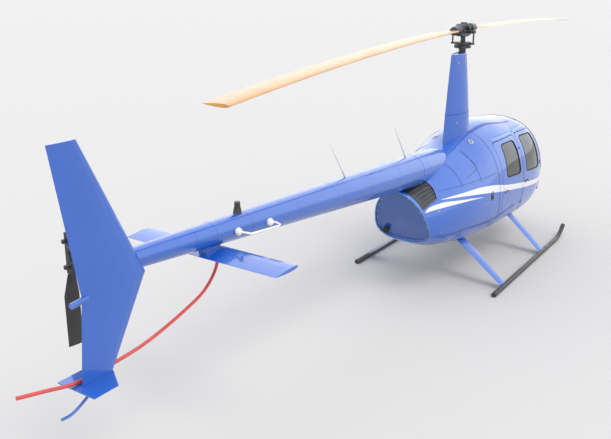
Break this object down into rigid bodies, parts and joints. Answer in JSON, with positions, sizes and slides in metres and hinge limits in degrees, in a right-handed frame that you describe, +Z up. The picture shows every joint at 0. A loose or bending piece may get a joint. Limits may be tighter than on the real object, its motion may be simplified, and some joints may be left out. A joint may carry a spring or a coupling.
{
  "type": "light four-seat helicopter",
  "caption": "Light piston helicopter on skids, with a tall faired mast, teetering main rotor, side tail rotor, hinged cabin doors and a hollow cabin.",
  "frame": {"origin": "on the ground under the skids, halfway along the whole length, rotor blades included, and on the centre line of the whole width", "axes": "+X towards the nose, +Y to the left, +Z up"},
  "size_m": [11.8813, 1.994, 3.17],
  "materials": {
    "body_blue": "gloss blue paint with pale grey stripes",
    "blade_yellow": "satin paint in yellow and white bands",
    "black_paint": "satin black paint",
    "dark_steel": "dark grey coated steel",
    "tinted_glass": "tinted acrylic",
    "leather": "grey leather",
    "black_plastic": "black plastic and trim",
    "engine_metal": "cast engine, out of sight",
    "white_plastic": "off-white plastic",
    "red_white_tube": "red and white bands"
  },
  "bodies": {
    "airframe": {"cabin_shell": "body_blue", "tank_cowl": "body_blue", "engine_cowl": "body_blue", "cowl_rear_panel": "body_blue", "cone_fairing": "body_blue", "mast_fairing": "body_blue", "tail_cone": "body_blue", "upper_fin": "body_blue", "lower_fin": "body_blue", "end_plate": "body_blue", "tail_skid": "body_blue", "horizontal_stabilizer": "body_blue", "tail_light": "body_blue", "cross_tube_front": "body_blue", "cross_tube_rear": "body_blue", "windshield_left": "tinted_glass", "windshield_right": "tinted_glass", "mast_sleeve": "dark_steel", "tail_gearbox": "dark_steel", "skid_left": "black_paint", "skid_right": "black_paint", "side_grille_left": "black_paint", "side_grille_right": "black_paint", "beacon": "black_paint", "antenna_front": "white_plastic", "antenna_aft": "white_plastic", "nav_antenna_left": "white_plastic", "nav_antenna_right": "white_plastic", "tail_guard": "red_white_tube", "exhaust_pipe": "dark_steel", "engine_block": "engine_metal", "rear_bulkhead": "black_plastic", "cabin_floor": "black_plastic", "instrument_console": "black_plastic", "cyclic_control": "dark_steel", "seat_front_left": "leather", "seat_front_right": "leather", "seat_rear_left": "leather", "seat_rear_right": "leather"},
    "main_rotor": {"rotor_shaft": "dark_steel", "rotor_hub": "dark_steel", "main_blade_a": "blade_yellow", "main_blade_b": "blade_yellow"},
    "tail_rotor": {"tail_rotor_hub": "dark_steel", "tail_blade_a": "black_paint", "tail_blade_b": "black_paint"},
    "door_front_left": {"door_front_left": "body_blue", "glass_front_left": "tinted_glass"},
    "door_front_right": {"door_front_right": "body_blue", "glass_front_right": "tinted_glass"},
    "door_rear_left": {"door_rear_left": "body_blue", "glass_rear_left": "tinted_glass"},
    "door_rear_right": {"door_rear_right": "body_blue", "glass_rear_right": "tinted_glass"}
  },
  "joints": [
    {"name": "main_rotor_spin", "type": "hinge", "parent": "airframe", "child": "main_rotor", "pos_m": [0.908, 0, 3.062], "axis": [0, 0, 1], "continuous": true},
    {"name": "tail_rotor_spin", "type": "hinge", "parent": "airframe", "child": "tail_rotor", "pos_m": [-4.985, 0.45, 1.872], "axis": [0, 1, 0], "continuous": true},
    {"name": "door_front_left_hinge", "type": "hinge", "parent": "airframe", "child": "door_front_left", "pos_m": [2.645, 0.598, 1], "axis": [0, 0, -1], "range_deg": [0, 80]},
    {"name": "door_front_right_hinge", "type": "hinge", "parent": "airframe", "child": "door_front_right", "pos_m": [2.645, -0.598, 1], "axis": [0, 0, 1], "range_deg": [0, 80]},
    {"name": "door_rear_left_hinge", "type": "hinge", "parent": "airframe", "child": "door_rear_left", "pos_m": [1.76, 0.655, 1], "axis": [0, 0, -1], "range_deg": [0, 80]},
    {"name": "door_rear_right_hinge", "type": "hinge", "parent": "airframe", "child": "door_rear_right", "pos_m": [1.76, -0.655, 1], "axis": [0, 0, 1], "range_deg": [0, 80]}
  ],
  "couplings": [
    {"joint": "tail_rotor_spin", "follows": "main_rotor_spin", "ratio": -5.946}
  ]
}
